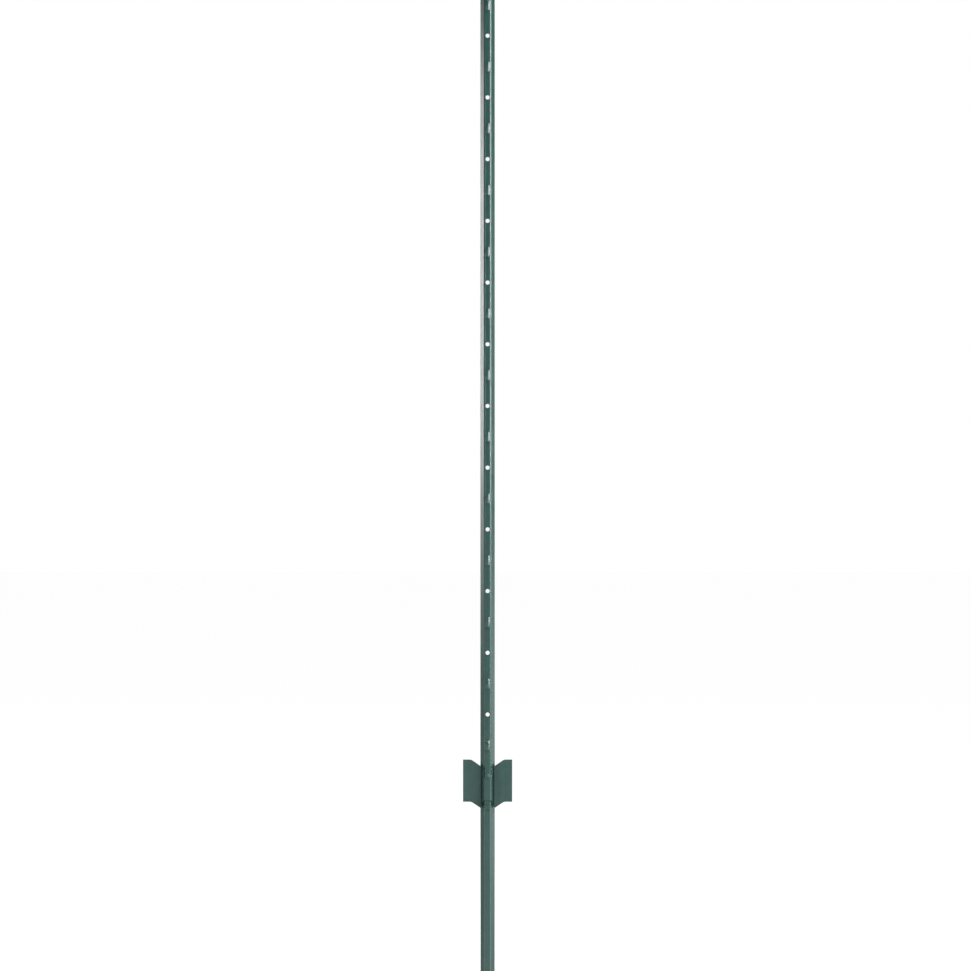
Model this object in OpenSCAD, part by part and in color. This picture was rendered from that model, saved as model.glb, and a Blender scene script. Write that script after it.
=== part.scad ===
// Steel U-channel fence post with a folded anchor plate.
// Frame: X across the post, the nose faces -Y, +Z up, origin on the ground line.

/* [Channel] */
// Length of the post, end to end
post_len = 2134; // [1500:1:2600]
// Height of the post's top above the ground line
post_above = 1586; // [1200:1:1800]
// Thickness of the channel's sheet
sheet_t = 1.9; // [1.5:0.1:2.4]
// Width of the flat strip down the front of the nose
nose_flat = 7; // [6:0.1:9]
// Inside radius of the two nose corners
nose_r = 1.05; // [0.8:0.05:2]
// Angle between a side wall and the front of the nose
wall_angle = 87; // [80:1:89]
// Straight length of a side wall, between its bends
wall_len = 14.5; // [10:0.1:20]
// Angle by which a flange is swept back from straight across
flange_sweep = 27; // [10:1:40]
// Centre-line radius of the bend from wall to flange
flange_r = 2.6; // [2:0.1:5]
// Straight length of a flange past its bend
flange_len = 7.7; // [4:0.1:14]

/* [Holes and lugs] */
// Pitch of the row of holes, and of the lugs between them
hole_pitch = 127; // [80:1:200]
// Distance from the top end to the first hole
first_hole = 19.4; // [10:0.1:50]
// Number of open holes
hole_count = 13; // [2:1:13]
// Diameter of an open hole
hole_d = 8.4; // [5:0.1:9.5]
// Height of a lug from slit to slit
lug_h = 20; // [12:0.5:30]
// Distance that a lug stands out from the nose
lug_out = 4.2; // [3.4:0.1:5.5]
// Width of the flat crown of a lug
lug_crown = 0.8; // [0.4:0.1:1.6]
// Thickness of the stretched sheet in a lug
lug_t = 1.6; // [1.2:0.1:1.9]
// Steepness of a lug's two sides
lug_slope = 52; // [48:1:60]
// Centre-line radius of the bends beside a lug's crown
lug_top_r = 1.5; // [1.2:0.1:2]
// Centre-line radius of the bends at a lug's feet
lug_foot_r = 1.0; // [0.9:0.1:1.4]
// Length of the flat foot that runs into the nose on each side of a lug
lug_foot = 0.4; // [0.2:0.1:0.8]
// Radius of a lug's bow from its top slit to its bottom slit
lug_bow = 36; // [24:1:90]

/* [Crimped stops] */
// Distance that the stops under the plate stand out
stop_out = 2.2; // [1.2:0.1:3.5]
// Height of the upper stop
stop_h_upper = 6.4; // [4:0.1:9]
// Height of the lower stop
stop_h_lower = 8; // [5:0.1:12]
// Height of the plain band above each stop
stop_gap = 1.8; // [0.8:0.1:3]
// Depth of the pushed-out nose, measured from its front
stop_depth = 5; // [4:0.5:8]

/* [Anchor plate] */
// Thickness of the plate
plate_t = 1.6; // [1.2:0.1:2]
// Full width over both wings
plate_w = 101.2; // [80:0.5:150]
// Height of the wings at their outer part
plate_h = 87; // [70:1:140]
// Distance from the rivet's centre up to the plate's top edge
plate_rise = 33.6; // [25:0.1:50]
// Length of the level edge at the outer end of a wing
wing_level = 17; // [8:0.5:25]
// Fall of the top edge from the level part of a wing to its fold
top_fall = 13.2; // [6:0.1:20]
// Fall of the lower edge from the level part of a wing to its fold
foot_fall = 12.8; // [6:0.1:20]
// Height gained by the lower edge from the fold back to the wall
foot_rise = 12; // [4:0.5:20]
// Angle by which the fold beside the wall comes forward
fold_angle = 26; // [15:1:40]
// Straight length of the fold from its valley to its crest
fold_len = 3.2; // [2:0.1:6]
// Centre-line radius of the plate's valley and crest bends
fold_r = 2; // [1.6:0.1:3]
// Height of the neck that crosses the front of the nose
neck_h = 46; // [20:0.5:60]
// Distance from the rivet's centre down to the top edge of the neck
neck_gap = 3.8; // [2:0.1:6]
// Radius of the ear round the rivet
ear_r = 5; // [4.4:0.1:8]

/* [Rivet and fits] */
// Diameter of the rivet's shank
rivet_d = 6.4; // [4:0.1:7]
// Diameter of the rivet's domed head
head_d = 10.4; // [9:0.1:13]
// Height of the rivet's domed head
head_h = 2.6; // [1.8:0.1:5]
// Height of the straight rim under the rivet's dome
head_rim = 0.4; // [0.3:0.1:1]
// Height of the rivet's set tail inside the channel
tail_h = 3; // [2.4:0.1:5]
// Distance that the tail spreads beyond the shank
tail_flare = 1; // [0.8:0.05:1.1]
// Distance over which the tail spreads out, and again draws in
tail_taper = 0.8; // [0.4:0.1:1]
// Clearance between pieces that sit on each other
fit = 0.1; // [0.05:0.05:0.2]

/* [Hidden] */
$fn = 64;
bend_step = 11;
over = sheet_t / 2;
green = [0.29, 0.39, 0.37];
dark_green = [0.26, 0.37, 0.35];

// Places along the post
top_z = post_above;
foot_z = post_above - post_len;
hole_z = [for (k = [0 : hole_count - 1]) top_z - first_hole - k * hole_pitch];
lug_z = [for (z = hole_z) z - hole_pitch / 2];
rivet_z = top_z - first_hole - hole_count * hole_pitch;
plate_top = rivet_z + plate_rise;
plate_foot = plate_top - plate_h;
neck_top = rivet_z - neck_gap;
neck_foot = neck_top - neck_h;

// Bend tables: each row is a straight length, the turn after it and the centre-line radius of the turn
nose_rc = nose_r + sheet_t / 2;
channel_bends = [
    [nose_flat / 2, wall_angle, nose_rc],
    [wall_len, flange_sweep - wall_angle, flange_r],
    [flange_len, 0, 1]
];
plate_shift = (sheet_t + plate_t) / 2 + fit;
plate_wall = wall_len - fold_r;
wing_run = plate_w / 2;
plate_bends = [
    [nose_flat / 2, wall_angle, nose_rc + plate_shift],
    [plate_wall, -fold_angle - wall_angle, fold_r],
    [fold_len, fold_angle, fold_r],
    [wing_run, 0, 1]
];

// Depth of the section along its centre line, used to centre it on the Y axis
channel_ends = walk(channel_bends, [0, 0], 0);
section_depth = channel_ends[len(channel_ends) - 1][0][1];
nose_y = -section_depth / 2;
front_y = nose_y - sheet_t / 2;
inner_y = nose_y + sheet_t / 2;
plate_front_y = front_y - fit - plate_t;
plate_walk = walk(plate_bends, [0, nose_y - plate_shift], 0);
crest = plate_walk[len(plate_walk) - 2][0];
valley_x = max([for (s = plate_walk) s[1] > 0 ? s[0][0] : 0]);
nose_half = nose_flat / 2 + nose_rc + sheet_t / 2;

function normal(a) = [-sin(a), cos(a)];

// Stations along a bent strip: [point on the centre line, heading]
function bend_stations(p, a, turn, r) =
    let (n = ceil(abs(turn) / bend_step), side = sign(turn))
    [for (k = [1 : 1 : n])
        let (h = a + turn * k / n)
        [p + side * r * (normal(a) - normal(h)), h]];

function walk(rows, p, a, i = 0) =
    i == len(rows) ? [] :
    let (
        q = p + rows[i][0] * [cos(a), sin(a)],
        arc = rows[i][1] == 0 ? [] : bend_stations(q, a, rows[i][1], rows[i][2]),
        next = len(arc) == 0 ? q : arc[len(arc) - 1][0]
    )
    concat([[q, a]], arc, walk(rows, next, a + rows[i][1], i + 1));

function reverse(v) = [for (i = [len(v) - 1 : -1 : 0]) v[i]];
function mirrored(v) = [for (p = v) [-p[0], p[1]]];

// Outline of a strip of thickness t that is symmetric about x = 0
function strip(rows, start_y, t) =
    let (
        s = walk(rows, [0, start_y], 0),
        front = [for (q = s) q[0] - t / 2 * normal(q[1])],
        back = [for (q = s) q[0] + t / 2 * normal(q[1])]
    )
    concat(front, reverse(back), mirrored(back), reverse(mirrored(front)));

// The channel's cross-section
module channel_section() {
    polygon(strip(channel_bends, nose_y, sheet_t));
}

// A lug's arch in plan, from foot to foot, with y outwards
lug_side = (lug_out - (lug_top_r + lug_foot_r) * (1 - cos(lug_slope))) / sin(lug_slope);
lug_bends = [
    [lug_crown / 2, lug_slope, lug_top_r],
    [lug_side, -lug_slope * 0.6, lug_foot_r],
    [lug_foot, 0, 1]
];
lug_window = lug_crown / 2 + lug_top_r * sin(lug_slope) + lug_side * cos(lug_slope) - lug_t * 0.6;

// One lanced lug: a strip pushed out between two slits, bowed a little from slit to slit
module lug() {
    half_turn = asin(lug_h / 2 / lug_bow);
    translate([0, front_y + sheet_t / 2 - lug_out + lug_bow, 0])
        rotate([0, 90, 0])
        rotate([0, 0, -90 - half_turn])
        rotate_extrude(angle = 2 * half_turn, $fn = 128)
        rotate(-90)
        translate([0, -lug_bow])
        polygon([for (p = strip(lug_bends, 0, lug_t)) [p[0], -p[1] + 2 * lug_bow]]);
}

module along_y(y0, y1) {
    translate([0, y1, 0]) rotate([90, 0, 0]) linear_extrude(y1 - y0) children();
}

// A crimped stop: the nose pushed out over the height of its window
module stop_zone(out) {
    translate([-nose_half * 2, front_y - out]) square([nose_half * 4, out + stop_depth]);
}

module stop_strip(z) {
    translate([0, -stop_out, z[0]]) linear_extrude(z[1] - z[0]) intersection() {
        channel_section();
        stop_zone(over);
    }
}

stop_top = neck_foot - stop_gap;
stop_mid = stop_top - stop_h_upper - stop_gap;
stops = [[stop_top - stop_h_upper, stop_top], [stop_mid - stop_h_lower, stop_mid]];

module post_channel() {
    color(green) union() {
        difference() {
            translate([0, 0, foot_z]) linear_extrude(post_len) channel_section();
            for (z = hole_z) translate([0, 0, z]) along_y(front_y - over, inner_y + over) circle(d = hole_d);
            translate([0, 0, rivet_z]) along_y(front_y - over, inner_y + over) circle(d = rivet_d + 2 * fit);
            for (z = lug_z) translate([-lug_window, front_y - over, z - lug_h / 2])
                cube([2 * lug_window, sheet_t + 2 * over, lug_h]);
            for (z = stops) translate([0, 0, z[0]]) linear_extrude(z[1] - z[0])
                translate([0, -stop_out]) stop_zone(over);
        }
        for (z = lug_z) translate([0, 0, z]) lug();
        for (z = stops) stop_strip(z);
    }
}

// Front outline of the plate: level wings whose edges fall towards the post
plate_fold_top = plate_top - top_fall;
plate_fold_foot = plate_foot - foot_fall;
plate_wall_foot = plate_fold_foot + foot_rise;

module plate_outline() {
    a = plate_w / 2;
    b = a - wing_level;
    c = crest[0];
    polygon([
        [-a, plate_foot], [-b, plate_foot], [-c, plate_fold_foot], [-valley_x, plate_wall_foot],
        [valley_x, plate_wall_foot], [c, plate_fold_foot], [b, plate_foot], [a, plate_foot],
        [a, plate_top], [b, plate_top], [c, plate_fold_top],
        [-c, plate_fold_top], [-b, plate_top], [-a, plate_top]
    ]);
}

// Side outline of the notches that free the nose above and below the neck
module notch_side() {
    back = crest[1];
    front = plate_front_y - over;
    polygon([[front, neck_top], [inner_y, neck_top], [back, plate_fold_top],
        [back, plate_top + over], [front, plate_top + over]]);
    polygon([[front, neck_foot], [inner_y, neck_foot], [back, plate_wall_foot],
        [back, plate_fold_foot - over], [front, plate_fold_foot - over]]);
}

module plate_section() {
    intersection() {
        polygon(strip(plate_bends, nose_y - plate_shift, plate_t));
        translate([-plate_w / 2, plate_front_y - over]) square([plate_w, section_depth * 2]);
    }
}

module anchor_plate() {
    color(dark_green) difference() {
        intersection() {
            translate([0, 0, plate_fold_foot]) linear_extrude(plate_top - plate_fold_foot) plate_section();
            along_y(plate_front_y - over, crest[1] + fold_r * 4) plate_outline();
        }
        difference() {
            translate([-valley_x, 0, 0]) rotate([90, 0, 90]) linear_extrude(2 * valley_x) notch_side();
            translate([0, 0, rivet_z]) along_y(plate_front_y - 2 * over, inner_y) circle(r = ear_r);
            translate([-ear_r, plate_front_y - 2 * over, neck_foot + over])
                cube([2 * ear_r, inner_y - plate_front_y + 2 * over, rivet_z - neck_foot - over]);
        }
        translate([0, 0, rivet_z]) along_y(plate_front_y - over, inner_y) circle(d = rivet_d + 2 * fit);
    }
}

// The rivet, drawn along its own axis from the seat of the head, then turned to face -Y
module plate_rivet() {
    grip = plate_t + sheet_t + 3 * fit;
    rise = head_h - head_rim;
    dome_r = (pow(head_d / 2, 2) + pow(rise, 2)) / (2 * rise);
    r = rivet_d / 2;
    color(green) translate([0, plate_front_y - fit, rivet_z]) rotate([90, 0, 0]) union() {
        cylinder(d = head_d, h = head_rim);
        intersection() {
            translate([0, 0, head_h - dome_r]) sphere(r = dome_r, $fn = 96);
            translate([0, 0, head_rim / 2]) cylinder(d = head_d, h = head_h);
        }
        translate([0, 0, -grip - tail_taper / 2]) cylinder(d = rivet_d, h = grip + tail_taper / 2 + head_rim / 2);
        rotate_extrude() polygon([[0, -grip], [r + tail_flare / 4, -grip], [r + tail_flare, -grip - tail_taper],
            [r + tail_flare, -grip - tail_h + tail_taper], [r, -grip - tail_h], [0, -grip - tail_h]]);
    }
}

post_channel();
anchor_plate();
plate_rivet();
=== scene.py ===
"""Looks of a roll-formed steel fence post.

It has three pieces: the channel, its folded anchor plate and the rivet that holds the two together.
"""

import logging
import math
from collections.abc import Callable, Iterable
from dataclasses import dataclass, field
from enum import Enum

import bpy
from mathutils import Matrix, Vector

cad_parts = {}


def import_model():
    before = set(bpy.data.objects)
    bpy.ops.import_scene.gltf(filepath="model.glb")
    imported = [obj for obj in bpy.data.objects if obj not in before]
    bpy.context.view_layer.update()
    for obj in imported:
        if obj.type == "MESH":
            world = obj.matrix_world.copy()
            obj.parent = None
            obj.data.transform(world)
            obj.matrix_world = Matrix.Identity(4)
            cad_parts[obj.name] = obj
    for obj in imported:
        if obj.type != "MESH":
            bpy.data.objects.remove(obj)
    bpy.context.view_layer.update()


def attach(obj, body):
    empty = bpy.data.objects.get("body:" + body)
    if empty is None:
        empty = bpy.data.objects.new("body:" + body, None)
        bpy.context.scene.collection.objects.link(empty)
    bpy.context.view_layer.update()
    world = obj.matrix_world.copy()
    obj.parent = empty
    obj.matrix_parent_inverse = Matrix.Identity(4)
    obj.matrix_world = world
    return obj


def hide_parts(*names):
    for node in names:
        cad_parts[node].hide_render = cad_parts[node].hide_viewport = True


logging.basicConfig(level=logging.INFO, format="%(levelname)s %(message)s")
log = logging.getLogger("fence_post")

MM = 0.001
# Two places that are closer than this are one place
TOUCH = 1e-6
# Faces that meet at less than this angle are shaded as one curve
SMOOTH_BELOW = math.radians(32)
# Edges that are sharper than this angle are rounded
ROUND_ABOVE = math.radians(50)
Colour = tuple[float, float, float]
WHITE = (1.0, 1.0, 1.0, 1.0)
# Scale of a pattern along X, Y and Z
Stretch = tuple[float, float, float]
EVEN: Stretch = (1.0, 1.0, 1.0)
# X and Y of a place on a sheet's centre line, and its heading in degrees
Station = tuple[float, float, float]


class Side(Enum):
    """The two sides from which the studio lamps light the post."""

    RIGHT = 1.0
    LEFT = -1.0


class Cut(Enum):
    """How a cutter or an added form meets the piece it is worked into."""

    REMOVE = "DIFFERENCE"
    FUSE = "UNION"


@dataclass(frozen=True)
class Bend:
    """One row of a bend table: a straight run of sheet and the turn that follows it.

    Lengths and radii are in metres on the sheet's centre line, and the turn is in degrees.
    """

    run: float
    turn: float = 0.0
    radius: float = 0.001

    def walk(self, start: Station, step: float = 7.5) -> list[Station]:
        """Follows this row from a station of the sheet.

        Args:
            start: Where the row begins, as x, y and heading in degrees.
            step: Largest turn between two stations, in degrees.

        Returns:
            The stations after the straight run and along the bend.
        """
        x, y, heading = start
        x += self.run * math.cos(math.radians(heading))
        y += self.run * math.sin(math.radians(heading))
        found = [(x, y, heading)]
        count = math.ceil(abs(self.turn) / step)
        side = math.copysign(1.0, self.turn) * self.radius
        a = math.radians(heading)
        for k in range(1, count + 1):
            h = a + math.radians(self.turn) * k / count
            found.append(
                (
                    x + side * (math.sin(h) - math.sin(a)),
                    y + side * (math.cos(a) - math.cos(h)),
                    math.degrees(h),
                )
            )
        return found


def follow(rows: Iterable[Bend], start_y: float) -> list[Station]:
    """Follows a whole bend table from the middle of the post's front.

    Args:
        rows: The bend table of the right half of a section.
        start_y: Y of the sheet's centre line at x = 0.

    Returns:
        All stations, the first one at x = 0.
    """
    found: list[Station] = [(0.0, start_y, 0.0)]
    for row in rows:
        found += row.walk(found[-1])
    return found


# Finishes


@dataclass(frozen=True)
class PowderCoat:
    """A semi-gloss green powder coat over steel, with orange peel, roll streaks and a faint mottle.

    Mottle, streak and gloss spread say how far a value goes to each side of its middle, and the scales
    are those of the noise patterns, per metre.
    """

    name: str
    colour: Colour
    roughness: float = 0.2
    gloss_spread: float = 0.04
    mottle: float = 0.08
    mottle_scale: float = 34.0
    streak: float = 0.08
    streak_scale: float = 620.0
    streak_stretch: Stretch = (1.0, 1.0, 0.012)
    peel: float = 0.10
    peel_scale: float = 1300.0
    peel_depth: float = 0.2 * MM

    def material(self) -> bpy.types.Material:
        """Builds the node material.

        Returns:
            The new material.
        """
        made = bpy.data.materials.new(self.name)
        made.use_nodes = True
        nodes, links = made.node_tree.nodes, made.node_tree.links
        nodes.clear()
        output = nodes.new("ShaderNodeOutputMaterial")
        coat = nodes.new("ShaderNodeBsdfPrincipled")
        links.new(coat.outputs["BSDF"], output.inputs["Surface"])
        place = nodes.new("ShaderNodeTexCoord")
        cloud = self._noise(nodes, links, place, EVEN, self.mottle_scale, 4.0)
        streaks = self._noise(nodes, links, place, self.streak_stretch, self.streak_scale, 3.0)
        peel = self._noise(nodes, links, place, EVEN, self.peel_scale, 1.0)
        tint = self._spread(nodes, links, cloud, self.mottle)
        line = self._spread(nodes, links, streaks, self.streak)
        both = nodes.new("ShaderNodeMath")
        both.operation = "MULTIPLY"
        links.new(tint, both.inputs[0])
        links.new(line, both.inputs[1])
        shade = nodes.new("ShaderNodeVectorMath")
        shade.operation = "SCALE"
        shade.inputs[0].default_value = self.colour
        links.new(both.outputs[0], shade.inputs["Scale"])
        links.new(shade.outputs[0], coat.inputs["Base Color"])
        gloss = nodes.new("ShaderNodeMapRange")
        gloss.inputs["To Min"].default_value = self.roughness - self.gloss_spread
        gloss.inputs["To Max"].default_value = self.roughness + self.gloss_spread
        links.new(cloud, gloss.inputs["Value"])
        links.new(gloss.outputs["Result"], coat.inputs["Roughness"])
        bump = nodes.new("ShaderNodeBump")
        bump.inputs["Strength"].default_value = self.peel
        bump.inputs["Distance"].default_value = self.peel_depth
        links.new(peel, bump.inputs["Height"])
        links.new(bump.outputs["Normal"], coat.inputs["Normal"])
        coat.inputs["Specular IOR Level"].default_value = 0.5
        return made

    @staticmethod
    def _noise(
        nodes: bpy.types.Nodes,
        links: bpy.types.NodeLinks,
        place: bpy.types.Node,
        stretch: Stretch,
        scale: float,
        detail: float,
    ) -> bpy.types.NodeSocket:
        """Adds one noise pattern on Object coordinates.

        Args:
            nodes: The material's nodes.
            links: The material's links.
            place: The Texture Coordinate node.
            stretch: Scale along X, Y and Z.
            scale: Scale of the noise, per metre.
            detail: Detail of the noise.

        Returns:
            The factor output.
        """
        mapping = nodes.new("ShaderNodeMapping")
        mapping.inputs["Scale"].default_value = stretch
        noise = nodes.new("ShaderNodeTexNoise")
        noise.inputs["Scale"].default_value = scale
        noise.inputs["Detail"].default_value = detail
        links.new(place.outputs["Object"], mapping.inputs["Vector"])
        links.new(mapping.outputs["Vector"], noise.inputs["Vector"])
        return noise.outputs["Fac"]

    @staticmethod
    def _spread(
        nodes: bpy.types.Nodes,
        links: bpy.types.NodeLinks,
        value: bpy.types.NodeSocket,
        share: float,
    ) -> bpy.types.NodeSocket:
        """Turns a noise factor into a brightness round 1.

        Args:
            nodes: The material's nodes.
            links: The material's links.
            value: The noise's factor output.
            share: How far the brightness goes to each side of 1.

        Returns:
            The brightness output.
        """
        spread = nodes.new("ShaderNodeMapRange")
        spread.inputs["From Min"].default_value = 0.3
        spread.inputs["From Max"].default_value = 0.7
        spread.inputs["To Min"].default_value = 1.0 - share
        spread.inputs["To Max"].default_value = 1.0 + share
        links.new(value, spread.inputs["Value"])
        return spread.outputs["Result"]


CHANNEL_COAT = PowderCoat("channel_coat", (0.041, 0.112, 0.097))
PLATE_COAT = PowderCoat("plate_coat", (0.045, 0.114, 0.100), streak=0.04, mottle=0.10)
RIVET_COAT = PowderCoat("rivet_coat", (0.041, 0.112, 0.097), roughness=0.4, streak=0.0)


# Work on meshes, as at the bench


def deselect_all() -> None:
    """Leaves object mode with nothing selected."""
    if bpy.context.object and bpy.context.object.mode != "OBJECT":
        bpy.ops.object.mode_set(mode="OBJECT")
    bpy.ops.object.select_all(action="DESELECT")


def activate(piece: bpy.types.Object) -> None:
    """Makes one object the only selected and the active one."""
    deselect_all()
    piece.select_set(True)
    bpy.context.view_layer.objects.active = piece


def pick(piece: bpy.types.Object, test: Callable[[Vector], bool]) -> None:
    """Selects the vertices that pass a test, and enters edit mode with them.

    Args:
        piece: The mesh object.
        test: Says of a vertex's place whether it is wanted.
    """
    activate(piece)
    bpy.ops.object.mode_set(mode="EDIT")
    bpy.ops.mesh.select_mode(type="VERT")
    bpy.ops.mesh.select_all(action="DESELECT")
    bpy.ops.object.mode_set(mode="OBJECT")
    for vertex in piece.data.vertices:
        vertex.select = test(vertex.co)
    bpy.ops.object.mode_set(mode="EDIT")


def modify(piece: bpy.types.Object, kind: str, **settings: object) -> None:
    """Adds a modifier with its settings and applies it.

    Args:
        piece: The mesh object.
        kind: The modifier's type.
        **settings: Values of the modifier's own properties.
    """
    activate(piece)
    modifier = piece.modifiers.new(kind.lower(), kind)
    for name, value in settings.items():
        setattr(modifier, name, value)
    bpy.ops.object.modifier_apply(modifier=modifier.name)


def work_in(piece: bpy.types.Object, tool: bpy.types.Object, cut: Cut) -> None:
    """Cuts a tool out of a piece or fuses it in, and removes the tool.

    Args:
        piece: The mesh object that stays.
        tool: The cutter or the added form.
        cut: Which of the two is done.
    """
    modify(piece, "BOOLEAN", operation=cut.value, object=tool, solver="EXACT")
    bpy.data.objects.remove(tool, do_unlink=True)


def join(pieces: list[bpy.types.Object], name: str) -> bpy.types.Object:
    """Joins mesh objects into the first of them.

    Args:
        pieces: The objects.
        name: Name of the joined object.

    Returns:
        The joined object.
    """
    deselect_all()
    for piece in pieces:
        piece.select_set(True)
    bpy.context.view_layer.objects.active = pieces[0]
    bpy.ops.object.join()
    pieces[0].name = name
    return pieces[0]


def copy_at(piece: bpy.types.Object, z: float) -> bpy.types.Object:
    """Copies a piece with a mesh of its own and moves the copy's mesh along Z.

    Args:
        piece: The piece to copy.
        z: Distance to move it.

    Returns:
        The copy.
    """
    activate(piece)
    bpy.ops.object.duplicate(linked=False)
    copy = bpy.context.object
    bpy.ops.object.mode_set(mode="EDIT")
    bpy.ops.mesh.select_all(action="SELECT")
    bpy.ops.transform.translate(value=(0.0, 0.0, z))
    bpy.ops.object.mode_set(mode="OBJECT")
    return copy


def sheet_from(name: str, stations: list[Station], low: float, high: float) -> bpy.types.Object:
    """Bends a flat strip of sheet along its stations, as a surface without thickness yet.

    Args:
        name: Name of the new object.
        stations: Centre line of the right half, from x = 0 outwards.
        low: Z of the lower edge.
        high: Z of the upper edge.

    Returns:
        The right half of the bent sheet.
    """
    deselect_all()
    bpy.ops.mesh.primitive_plane_add(size=1.0)
    piece = bpy.context.object
    piece.name = name
    (x0, y0, _), (x1, y1, _) = stations[:2]
    for vertex in piece.data.vertices:
        outer, upper = vertex.co.x > 0, vertex.co.y > 0
        vertex.co = (x1 if outer else x0, y1 if outer else y0, high if upper else low)
    for (xa, ya, _), (xb, yb, _) in zip(stations[1:], stations[2:]):
        edge = Vector((xa, ya))
        pick(piece, lambda co, edge=edge: (co.xy - edge).length < TOUCH)
        bpy.ops.mesh.extrude_region_move(TRANSFORM_OT_translate={"value": (xb - xa, yb - ya, 0.0)})
    bpy.ops.object.mode_set(mode="OBJECT")
    return piece


def face_outwards(piece: bpy.types.Object) -> None:
    """Turns all faces of a closed mesh outwards."""
    pick(piece, lambda co: True)
    bpy.ops.mesh.normals_make_consistent(inside=False)
    bpy.ops.object.mode_set(mode="OBJECT")


def thicken(piece: bpy.types.Object, thickness: float, rounding: float) -> None:
    """Mirrors a half sheet, gives it its thickness and rounds its cut edges.

    Args:
        piece: The right half of a bent sheet.
        thickness: Thickness of the sheet.
        rounding: Radius along the cut edges.
    """
    modify(piece, "MIRROR", use_axis=(True, False, False), merge_threshold=TOUCH)
    modify(piece, "SOLIDIFY", thickness=thickness, offset=0.0, use_even_offset=True)
    face_outwards(piece)
    modify(piece, "BEVEL", width=rounding, segments=2, limit_method="ANGLE", angle_limit=ROUND_ABOVE)


def rod(
    name: str, z: float, diameter: float, y_from: float, y_to: float, sides: int = 48
) -> bpy.types.Object:
    """Makes a cylinder along Y, as a drill or a shank.

    Args:
        name: Name of the new object.
        z: Height of its axis, at x = 0.
        diameter: Its diameter.
        y_from: Y of its front end.
        y_to: Y of its back end.
        sides: Number of its sides.

    Returns:
        The cylinder.
    """
    deselect_all()
    bpy.ops.mesh.primitive_cylinder_add(
        vertices=sides,
        radius=diameter / 2,
        depth=y_to - y_from,
        location=(0.0, (y_from + y_to) / 2, z),
        rotation=(math.radians(90), 0.0, 0.0),
    )
    made = bpy.context.object
    made.name = name
    bpy.ops.object.transform_apply(location=True, rotation=True, scale=True)
    return made


def block(name: str, low: Vector, high: Vector) -> bpy.types.Object:
    """Makes a box between two corners, as a punch.

    Args:
        name: Name of the new object.
        low: Its lowest corner.
        high: Its highest corner.

    Returns:
        The box.
    """
    deselect_all()
    bpy.ops.mesh.primitive_cube_add(size=1.0, location=(low + high) / 2, scale=high - low)
    made = bpy.context.object
    made.name = name
    bpy.ops.object.transform_apply(location=True, rotation=True, scale=True)
    return made


def finish_piece(piece: bpy.types.Object, coat: PowderCoat, node: str) -> None:
    """Shades a finished piece, gives it its coat and puts it in the place of its node.

    Args:
        piece: The finished mesh object.
        coat: Its finish.
        node: The node that it stands for.
    """
    activate(piece)
    bpy.ops.object.transform_apply(location=True, rotation=True, scale=True)
    bpy.ops.object.shade_smooth_by_angle(angle=SMOOTH_BELOW)
    modify(piece, "WEIGHTED_NORMAL", keep_sharp=True)
    piece.data.materials.clear()
    piece.data.materials.append(coat.material())
    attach(piece, "root")
    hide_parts(node)
    log.info("%s: %d faces", piece.name, len(piece.data.polygons))


# The post


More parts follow.
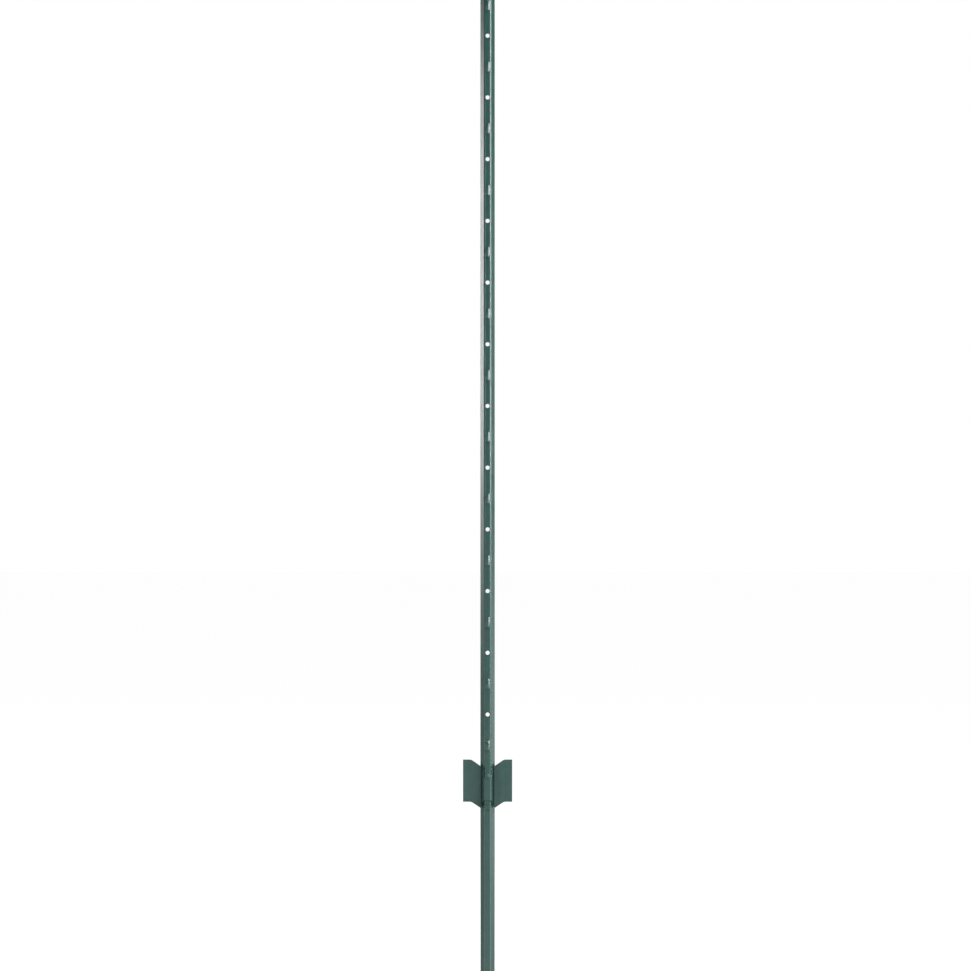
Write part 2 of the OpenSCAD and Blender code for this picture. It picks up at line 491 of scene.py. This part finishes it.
@dataclass
class Channel:
    """The roll-formed channel: nose, walls and swept flanges, holes, lugs and crimped stops.

    The foot turn is the share of a lug's slope that its foot bends back, and the slit inset the share of
    a lug's thickness by which its window is narrower than its slopes.
    """

    length: float = 2.134
    top: float = 1.586
    sheet: float = 1.9 * MM
    nose_flat: float = 7.0 * MM
    nose_radius: float = 2.0 * MM
    wall_angle: float = 87.0
    wall: float = 14.5 * MM
    sweep: float = 27.0
    flange_radius: float = 2.6 * MM
    flange: float = 7.7 * MM
    edge_round: float = 0.45 * MM
    pitch: float = 127.0 * MM
    first_hole: float = 19.4 * MM
    holes: int = 13
    hole: float = 8.4 * MM
    lug_height: float = 20.0 * MM
    lug_out: float = 4.2 * MM
    lug_crown: float = 0.8 * MM
    lug_sheet: float = 1.6 * MM
    lug_slope: float = 52.0
    lug_radii: tuple[float, float] = (1.5 * MM, 1.0 * MM)
    lug_foot: float = 0.4 * MM
    lug_foot_turn: float = 0.6
    lug_bow: float = 36.0 * MM
    lug_rows: int = 8
    lug_round: float = 0.35 * MM
    slit_inset: float = 0.6
    stop_out: float = 2.2 * MM
    stop_heights: tuple[float, float] = (6.4 * MM, 8.0 * MM)
    stop_gap: float = 1.8 * MM
    stop_depth: float = 4.0 * MM
    stop_round: float = 0.4 * MM
    window_half: float = 16.0 * MM
    window_depth: float = 2.8 * MM
    rivet_hole: float = 6.6 * MM
    rows: list[Bend] = field(init=False)
    nose_y: float = field(init=False)

    def __post_init__(self) -> None:
        """Works out the bend table and centres the section on the Y axis."""
        self.rows = [
            Bend(self.nose_flat / 2, self.wall_angle, self.nose_radius),
            Bend(self.wall, self.sweep - self.wall_angle, self.flange_radius),
            Bend(self.flange),
        ]
        self.nose_y = -follow(self.rows, 0.0)[-1][1] / 2

    @property
    def front(self) -> float:
        """Y of the nose's front face."""
        return self.nose_y - self.sheet / 2

    @property
    def hole_places(self) -> list[float]:
        """Heights of the open holes, from the top down."""
        return [self.top - self.first_hole - k * self.pitch for k in range(self.holes)]

    @property
    def lug_places(self) -> list[float]:
        """Heights of the lugs, each midway below its hole."""
        return [z - self.pitch / 2 for z in self.hole_places]

    @property
    def rivet_z(self) -> float:
        """Height of the rivet, one pitch under the lowest open hole."""
        return self.top - self.first_hole - self.holes * self.pitch

    def build(self, neck_foot: float) -> bpy.types.Object:
        """Builds the whole channel.

        Args:
            neck_foot: Height of the lower edge of the plate's neck, under which the stops are.

        Returns:
            The finished mesh object.
        """
        body = sheet_from("channel", follow(self.rows, self.nose_y), self.top - self.length, self.top)
        thicken(body, self.sheet, self.edge_round)
        work_in(body, self._punches(neck_foot), Cut.REMOVE)
        work_in(body, self._lugs(), Cut.FUSE)
        for stop in self._stops(neck_foot):
            work_in(body, stop, Cut.FUSE)
        return body

    def _stop_places(self, neck_foot: float) -> list[tuple[float, float]]:
        """Works out the lower and upper ends of the two stops.

        Args:
            neck_foot: Height of the lower edge of the plate's neck.

        Returns:
            The ends of each stop, the upper one first.
        """
        found, edge = [], neck_foot
        for height in self.stop_heights:
            found.append((edge - self.stop_gap - height, edge - self.stop_gap))
            edge -= self.stop_gap + height
        return found

    def _lug_half(self) -> list[Station]:
        """Returns the stations of a lug's arch, from its crown to its foot."""
        top_radius, foot_radius = self.lug_radii
        slope = math.radians(self.lug_slope)
        side = (self.lug_out - (top_radius + foot_radius) * (1 - math.cos(slope))) / math.sin(slope)
        rows = [
            Bend(self.lug_crown / 2, self.lug_slope, top_radius),
            Bend(side, -self.lug_slope * self.lug_foot_turn, foot_radius),
            Bend(self.lug_foot),
        ]
        return follow(rows, self.nose_y - self.lug_out)

    def _punches(self, neck_foot: float) -> bpy.types.Object:
        """Makes the drills and punches for the holes and for the lugs' and the stops' windows.

        Args:
            neck_foot: Height of the lower edge of the plate's neck.

        Returns:
            All cutters as one object.
        """
        clear = 1.0 * MM
        y0, y1 = self.front - clear, self.nose_y + self.sheet / 2 + clear
        tools = [rod("drill", z, self.hole, y0, y1) for z in self.hole_places]
        tools.append(rod("drill", self.rivet_z, self.rivet_hole, y0, y1))
        steep = self.lug_slope - 1.0
        half = max(x for x, _, heading in self._lug_half() if heading > steep)
        half -= self.slit_inset * self.lug_sheet
        for z in self.lug_places:
            h = self.lug_height / 2
            tools.append(block("punch", Vector((-half, y0, z - h)), Vector((half, y1, z + h))))
        wide, deep = self.window_half, self.front + self.window_depth
        for low, high in self._stop_places(neck_foot):
            tools.append(block("punch", Vector((-wide, y0, low)), Vector((wide, deep, high))))
        return join(tools, "punches")

    def _lugs(self) -> bpy.types.Object:
        """Models one bowed lug and copies it to every place.

        Returns:
            All lugs as one object.
        """
        half = self.lug_height / 2
        lug = sheet_from("lug", self._lug_half(), -half, half)
        pick(lug, lambda co: True)
        for k in range(1, self.lug_rows):
            level = -half + k * self.lug_height / self.lug_rows
            bpy.ops.mesh.select_all(action="SELECT")
            bpy.ops.mesh.bisect(plane_co=(0, 0, level), plane_no=(0, 0, 1))
        bpy.ops.object.mode_set(mode="OBJECT")
        for vertex in lug.data.vertices:
            vertex.co.y += self.lug_bow - math.sqrt(self.lug_bow**2 - vertex.co.z**2)
        thicken(lug, self.lug_sheet, self.lug_round)
        copies = [copy_at(lug, z) for z in self.lug_places]
        bpy.data.objects.remove(lug, do_unlink=True)
        return join(copies, "lugs")

    def _stops(self, neck_foot: float) -> list[bpy.types.Object]:
        """Models the two crimped stops, the nose pushed out of its own windows.

        Args:
            neck_foot: Height of the lower edge of the plate's neck.

        Returns:
            The two stops.
        """
        found = []
        reach = self.front + self.stop_depth
        shape = [station for station in follow(self.rows, self.nose_y) if station[1] < reach]
        shape += Bend(self.stop_depth).walk(shape[-1])
        for low, high in self._stop_places(neck_foot):
            pushed = [(px, py - self.stop_out, h) for px, py, h in shape]
            stop = sheet_from("stop", pushed, low, high)
            thicken(stop, self.sheet, self.stop_round)
            found.append(stop)
        return found


@dataclass
class AnchorPlate:
    """The folded anchor plate: a sleeve round the nose and two flat wings whose edges fall towards it.

    The bend marks are places beside the start of a wing's slope, in millimetres, at which its rounded
    edge has a vertex. The wall is the place from which the lower edge rises to the fold.
    """

    channel: Channel
    sheet: float = 1.6 * MM
    width: float = 101.2 * MM
    height: float = 87.0 * MM
    rise: float = 33.6 * MM
    level: float = 17.0 * MM
    soft: float = 4.0 * MM
    bend_marks: tuple[float, ...] = (-6.0, -4.0, -2.0, -0.5, 1.0, 2.5, 4.0)
    wall: float = 9.2 * MM
    top_fall: float = 13.2 * MM
    foot_fall: float = 12.8 * MM
    foot_rise: float = 12.0 * MM
    fold: float = 26.0
    fold_run: float = 3.2 * MM
    fold_radius: float = 2.0 * MM
    neck: float = 46.0 * MM
    neck_gap: float = 3.8 * MM
    ear: float = 5.0 * MM
    edge_round: float = 0.4 * MM
    fit: float = 0.1 * MM

    @property
    def shift(self) -> float:
        """Distance between the centre lines of the plate's and the channel's sheet."""
        return (self.channel.sheet + self.sheet) / 2 + self.fit

    @property
    def neck_top(self) -> float:
        """Height of the neck's upper edge."""
        return self.channel.rivet_z - self.neck_gap

    @property
    def neck_foot(self) -> float:
        """Height of the neck's lower edge."""
        return self.neck_top - self.neck

    @property
    def front(self) -> float:
        """Y of the plate's front face on the nose."""
        return self.channel.nose_y - self.shift - self.sheet / 2

    def _sleeve(self) -> list[Station]:
        """Returns the stations of the right half from the nose to the crest of the fold."""
        c = self.channel
        third = c.nose_flat / 6
        rows = [
            Bend(third),
            Bend(third),
            Bend(third, c.wall_angle, c.nose_radius + self.shift),
            Bend(c.wall - self.fold_radius, -self.fold - c.wall_angle, self.fold_radius),
            Bend(self.fold_run, self.fold, self.fold_radius),
        ]
        return follow(rows, c.nose_y - self.shift)

    def _wing(self, y: float) -> list[Station]:
        """Returns the stations of the right wing, with more of them where its outline is curved.

        Args:
            y: Y of the wing's centre line.

        Returns:
            The stations past the crest of the fold.
        """
        bend_x = self.width / 2 - self.level
        places = [bend_x + mark * MM for mark in self.bend_marks]
        return [(x, y, 0.0) for x in (*places, self.width / 2)]

    def _fall(self, x: float, crest: float, depth: float) -> float:
        """Gives how far an edge of the outline has fallen at a place on a wing.

        Args:
            x: Place across the post.
            crest: X of the fold, where the edge is lowest.
            depth: Fall of the edge from the level part to the fold.

        Returns:
            Fall of the edge at x, with a rounded start of the slope.
        """
        start = self.width / 2 - self.level
        run = start - crest
        over = start - x
        if over > self.soft:
            return depth * over / run
        if over < -self.soft:
            return 0.0
        return depth / run * (over + self.soft) ** 2 / (4 * self.soft)

    def _edges(self, station: Station, crest: Station, valley: float) -> tuple[float, float]:
        """Gives the heights of the lower and upper edge of the plate at a station.

        Args:
            station: The place on the sheet.
            crest: The station at the fold beside the wing.
            valley: Y of the valley, the rearmost place of the sheet.

        Returns:
            Lower and upper edge.
        """
        x, y, _ = station
        fold_x = crest[0]
        top = self.channel.rivet_z + self.rise
        foot = top - self.height
        if x >= fold_x - TOUCH:
            lower = foot - self._fall(x, fold_x, self.foot_fall)
            return lower, top - self._fall(x, fold_x, self.top_fall)
        high = top - self.top_fall
        low = foot - self.foot_fall
        if x > self.wall:
            return low + self.foot_rise * (fold_x - x) / (fold_x - self.wall), high
        back = self.channel.nose_y + self.channel.sheet / 2
        share = max(0.0, min(1.0, (valley - y) / (valley - back)))
        upper = high + (self.neck_top - high) * share
        lower = low + self.foot_rise + (self.neck_foot - low - self.foot_rise) * share
        if x < self.ear and y < back:
            upper = max(upper, self.channel.rivet_z + math.sqrt(self.ear**2 - x**2))
        return lower, upper

    def build(self) -> bpy.types.Object:
        """Builds the whole plate.

        Returns:
            The finished mesh object.
        """
        c = self.channel
        sleeve = self._sleeve()
        crest = sleeve[-1]
        valley = max(y for _, y, _ in sleeve)
        stations = sleeve + self._wing(crest[1])
        piece = sheet_from("plate", stations, -1.0, 1.0)
        for vertex in piece.data.vertices:
            station = min(stations, key=lambda s: (Vector(s[:2]) - vertex.co.xy).length)
            low, high = self._edges(station, crest, valley)
            vertex.co.z = high if vertex.co.z > 0 else low
        thicken(piece, self.sheet, self.edge_round)
        clear = 1.0 * MM
        drill = rod("drill", c.rivet_z, c.rivet_hole, self.front - clear, c.nose_y)
        work_in(piece, drill, Cut.REMOVE)
        return piece


@dataclass
class Rivet:
    """The rivet through plate and channel: a domed head, a shank and a set tail.

    The tail is given ring by ring, as widening and rise. The dome's last ring is left open by the angle
    of its pole, so that no ring shrinks to a point.
    """

    plate: AnchorPlate
    shank: float = 6.4 * MM
    head: float = 10.4 * MM
    dome: float = 2.6 * MM
    dome_rings: int = 9
    pole: float = 0.02
    rim: float = 0.4 * MM
    tail: tuple[tuple[float, float], ...] = (
        (0.25 * MM, 0.0),
        (0.75 * MM, 0.8 * MM),
        (0.0, 1.4 * MM),
        (-1.0 * MM, 0.8 * MM),
    )

    def build(self) -> bpy.types.Object:
        """Builds the rivet from one round bar, upset at both ends.

        Returns:
            The finished mesh object.
        """
        fit = self.plate.fit
        seat = self.plate.front - fit
        inner = self.plate.channel.nose_y + self.plate.channel.sheet / 2 + fit
        bar = rod("rivet", self.plate.channel.rivet_z, self.shank, seat, inner)
        self._upset(bar, seat, -1.0, self._dome_steps())
        self._upset(bar, inner, 1.0, self.tail)
        face_outwards(bar)
        return bar

    def _dome_steps(self) -> list[tuple[float, float]]:
        """Returns the widening and the rise of each ring of the head."""
        rise = self.dome - self.rim
        radius = ((self.head / 2) ** 2 + rise**2) / (2 * rise)
        steps = [((self.head - self.shank) / 2, 0.0), (0.0, self.rim)]
        half = math.asin(self.head / 2 / radius)
        count = self.dome_rings
        for k in range(count):
            a, b = half * (1 - k / count), half * (1 - (k + 1) / count)
            widen = radius * (math.sin(max(b, self.pole)) - math.sin(a))
            steps.append((widen, radius * (math.cos(b) - math.cos(a))))
        return steps

    def _upset(
        self, bar: bpy.types.Object, y: float, way: float, steps: Iterable[tuple[float, float]]
    ) -> None:
        """Extrudes one end of the bar ring by ring.

        Args:
            bar: The bar.
            y: Y of the end.
            way: 1 towards the back, -1 towards the front.
            steps: Widening and rise of each ring.
        """
        pick(bar, lambda co: abs(co.y - y) < TOUCH)
        centre = (0.0, y, self.plate.channel.rivet_z)
        radius = self.shank / 2
        for widen, rise in steps:
            bpy.ops.mesh.extrude_region_move(TRANSFORM_OT_translate={"value": (0.0, way * rise, 0.0)})
            share = (radius + widen) / radius
            bpy.ops.transform.resize(value=(share, 1.0, share), center_override=centre)
            radius += widen
        bpy.ops.object.mode_set(mode="OBJECT")


# The studio


@dataclass(frozen=True)
class SoftBox:
    """One soft rectangular lamp that stands round the post and faces it.

    The angle is the turn from the front in degrees, past 90 for a lamp a little behind. The radiance
    says how bright its face is, 1 being as bright as a white surround. The drop is how far below its
    own height the lamp looks.
    """

    name: str
    side: Side
    angle: float
    height: float
    size: tuple[float, float]
    radiance: float
    reach: float = 3.2
    drop: float = 0.0

    def hang(self) -> None:
        """Adds the lamp to the scene."""
        a = math.radians(self.angle)
        across = self.side.value * self.reach * math.sin(a)
        place = Vector((across, -self.reach * math.cos(a), self.height))
        deselect_all()
        bpy.ops.object.light_add(type="AREA", location=place)
        lamp = bpy.context.object
        lamp.name = self.name
        lamp.visible_camera = False
        lamp.data.shape = "RECTANGLE"
        lamp.data.size, lamp.data.size_y = self.size
        lamp.data.energy = self.radiance * math.pi * self.size[0] * self.size[1]
        aim = Vector((0.0, 0.0, self.height - self.drop)) - place
        lamp.rotation_euler = aim.to_track_quat("-Z", "Y").to_euler()


SOFT_BOXES = (
    SoftBox("overhead_key", Side.RIGHT, 45.0, 7.6, (1.7, 1.7), 56.0, reach=5.0, drop=7.0),
    SoftBox("rear_edge", Side.RIGHT, 136.0, 1.25, (0.7, 1.6), 18.0),
    SoftBox("side_edge", Side.RIGHT, 104.0, 1.30, (0.5, 2.2), 14.0),
    SoftBox("side_low", Side.RIGHT, 104.0, -0.15, (0.5, 0.7), 4.0),
    SoftBox("top_key", Side.RIGHT, 84.0, 1.70, (1.0, 0.8), 10.0),
    SoftBox("high_key", Side.RIGHT, 66.0, 0.92, (0.5, 0.75), 14.0),
    SoftBox("mid_key", Side.RIGHT, 66.0, 0.38, (0.5, 0.35), 7.5),
    SoftBox("low_key", Side.RIGHT, 58.0, -0.17, (0.8, 0.75), 3.0),
    SoftBox("left_high", Side.LEFT, 54.0, 1.08, (0.5, 1.05), 19.0),
    SoftBox("left_mid", Side.LEFT, 54.0, 0.38, (0.5, 0.35), 4.5),
    SoftBox("back_fill", Side.LEFT, 150.0, 5.0, (2.0, 2.0), 16.0, reach=3.6, drop=4.4),
)


@dataclass
class Studio:
    """A pale floor, a white surround, soft lamps and a level long-lens camera.

    The scale is the size of a pixel at the post's front, and the two pixel places are those of the
    post's centre line and of the ground line in the photograph.
    """

    floor_z: float
    floor_gap: float = 0.5 * MM
    floor_radius: float = 60.0
    floor_shade: float = 0.35
    floor_roughness: float = 0.9
    floor_glow: float = 0.95
    surround_light: float = 0.1
    scale: float = 2.058 * MM
    frame: tuple[int, int] = (970, 971)
    centre_px: float = 487.6
    ground_px: float = 735.2
    distance: float = 12.0
    sight: float = 200.0
    sensor: float = 36.0
    nose_depth: float = 12.0 * MM

    def build(self) -> None:
        """Sets up floor, surround, lamps and camera."""
        self._floor()
        self._surround()
        for box in SOFT_BOXES:
            box.hang()
        self._camera()
        bpy.context.scene.view_settings.view_transform = "Standard"

    def _floor(self) -> None:
        """Lays the floor and gives it a pale, matt finish."""
        deselect_all()
        place = (0.0, 0.0, self.floor_z - self.floor_gap)
        bpy.ops.mesh.primitive_circle_add(
            vertices=96, radius=self.floor_radius, fill_type="NGON", location=place
        )
        floor = bpy.context.object
        floor.name = "floor"
        made = bpy.data.materials.new("floor_paint")
        made.use_nodes = True
        nodes, links = made.node_tree.nodes, made.node_tree.links
        paint = nodes["Principled BSDF"]
        paint.inputs["Base Color"].default_value = (*(self.floor_shade,) * 3, 1.0)
        paint.inputs["Roughness"].default_value = self.floor_roughness
        paint.inputs["Specular IOR Level"].default_value = 0.0
        path = nodes.new("ShaderNodeLightPath")
        seen = nodes.new("ShaderNodeMath")
        seen.operation = "MAXIMUM"
        links.new(path.outputs["Is Camera Ray"], seen.inputs[0])
        links.new(path.outputs["Is Glossy Ray"], seen.inputs[1])
        glow = nodes.new("ShaderNodeMath")
        glow.operation = "MULTIPLY"
        glow.inputs[1].default_value = self.floor_glow
        links.new(seen.outputs[0], glow.inputs[0])
        paint.inputs["Emission Color"].default_value = WHITE
        links.new(glow.outputs[0], paint.inputs["Emission Strength"])
        floor.data.materials.append(made)

    def _surround(self) -> None:
        """Makes the world white to the camera and soft on the post."""
        world = bpy.data.worlds.new("surround")
        bpy.context.scene.world = world
        world.use_nodes = True
        nodes, links = world.node_tree.nodes, world.node_tree.links
        nodes.clear()
        output = nodes.new("ShaderNodeOutputWorld")
        path = nodes.new("ShaderNodeLightPath")
        soft = nodes.new("ShaderNodeBackground")
        soft.inputs["Color"].default_value = WHITE
        soft.inputs["Strength"].default_value = self.surround_light
        white = nodes.new("ShaderNodeBackground")
        white.inputs["Color"].default_value = WHITE
        white.inputs["Strength"].default_value = 1.0
        mix = nodes.new("ShaderNodeMixShader")
        links.new(path.outputs["Is Camera Ray"], mix.inputs["Fac"])
        links.new(soft.outputs[0], mix.inputs[1])
        links.new(white.outputs[0], mix.inputs[2])
        links.new(mix.outputs[0], output.inputs["Surface"])

    def _camera(self) -> None:
        """Places the level camera so that the post falls where the photograph has it."""
        wide, tall = self.frame
        deselect_all()
        x = (wide / 2 - self.centre_px) * self.scale
        z = (self.ground_px - tall / 2) * self.scale
        level = (math.radians(90), 0.0, 0.0)
        bpy.ops.object.camera_add(location=(x, -self.distance, z), rotation=level)
        camera = bpy.context.object
        camera.data.sensor_width = self.sensor
        camera.data.lens = self.sensor * (self.distance - self.nose_depth) / (tall * self.scale)
        camera.data.clip_end = self.sight
        bpy.context.scene.camera = camera


def main() -> None:
    """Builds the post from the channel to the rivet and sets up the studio."""
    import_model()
    channel = Channel()
    plate = AnchorPlate(channel)
    rivet = Rivet(plate)
    finish_piece(channel.build(plate.neck_foot), CHANNEL_COAT, "post_channel")
    finish_piece(plate.build(), PLATE_COAT, "anchor_plate")
    finish_piece(rivet.build(), RIVET_COAT, "plate_rivet")
    Studio(floor_z=channel.top - channel.length).build()
    log.info("sizes written")


if __name__ == "__main__":
    main()
